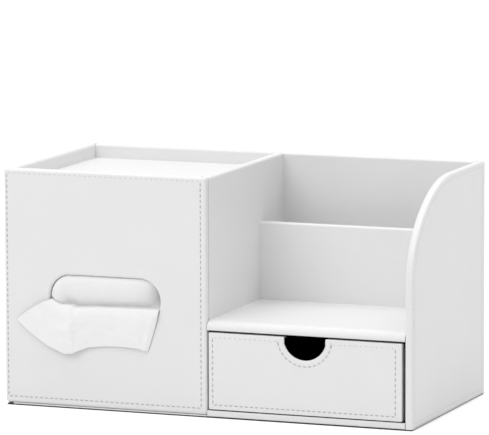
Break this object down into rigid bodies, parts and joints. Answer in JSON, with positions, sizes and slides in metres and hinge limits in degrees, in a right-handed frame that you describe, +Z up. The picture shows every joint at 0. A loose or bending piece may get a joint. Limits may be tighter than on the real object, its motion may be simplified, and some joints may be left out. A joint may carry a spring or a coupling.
{
  "type": "tissue box with drawer",
  "caption": "Desk organiser in white leathercloth with a front-slot tissue section, a tray on top, a drawer, a shelf and an upright remote compartment.",
  "frame": {"origin": "on the desk, under the middle of the box and of the tissue that hangs out of its front", "axes": "+X to the right along the longest side, +Y to the back, +Z up; the drawer and the flap face -Y"},
  "size_m": [0.31, 0.172, 0.171],
  "materials": {
    "white_leather": "white semi-gloss leathercloth with a fine grain",
    "board": "bare fibreboard, hidden by the covering",
    "wrapped_board": "fibreboard covered in matt white paper",
    "black_velvet": "short black velvet",
    "black_felt": "black felt pad",
    "magnet_steel": "plated disc magnets",
    "tissue": "soft white tissue paper"
  },
  "bodies": {
    "carcass": {"base_felt": "black_felt", "bottom_board": "board", "bottom_leather": "white_leather", "left_wall_board": "board", "left_wall_leather": "white_leather", "centre_wall_board": "board", "centre_wall_leather": "white_leather", "back_board": "board", "back_leather": "white_leather", "side_panel_board": "board", "side_panel_leather": "white_leather", "front_frame_board": "board", "front_frame_leather": "white_leather", "frame_magnets": "magnet_steel", "tray_board": "board", "tray_leather": "white_leather", "shelf_board": "board", "shelf_leather": "white_leather", "divider_board": "board", "divider_leather": "white_leather", "flap_hinge": "white_leather", "tissue_pack": "tissue"},
    "flap": {"flap_board": "board", "flap_leather": "white_leather", "flap_lining": "white_leather", "flap_magnets": "magnet_steel", "tissue_sheet": "tissue"},
    "drawer": {"drawer_front_board": "board", "drawer_front_leather": "white_leather", "drawer_side_left": "wrapped_board", "drawer_side_right": "wrapped_board", "drawer_back": "wrapped_board", "drawer_bottom": "wrapped_board", "drawer_lining": "black_velvet"}
  },
  "joints": [
    {"name": "flap_hinge_turn", "type": "hinge", "parent": "carcass", "child": "flap", "pos_m": [-0.077, -0.074, 0.0018], "axis": [1, 0, 0], "range_deg": [0, 90]},
    {"name": "drawer_slide", "type": "slide", "parent": "carcass", "child": "drawer", "axis": [0, -1, 0], "range_m": [0, 0.135]}
  ]
}
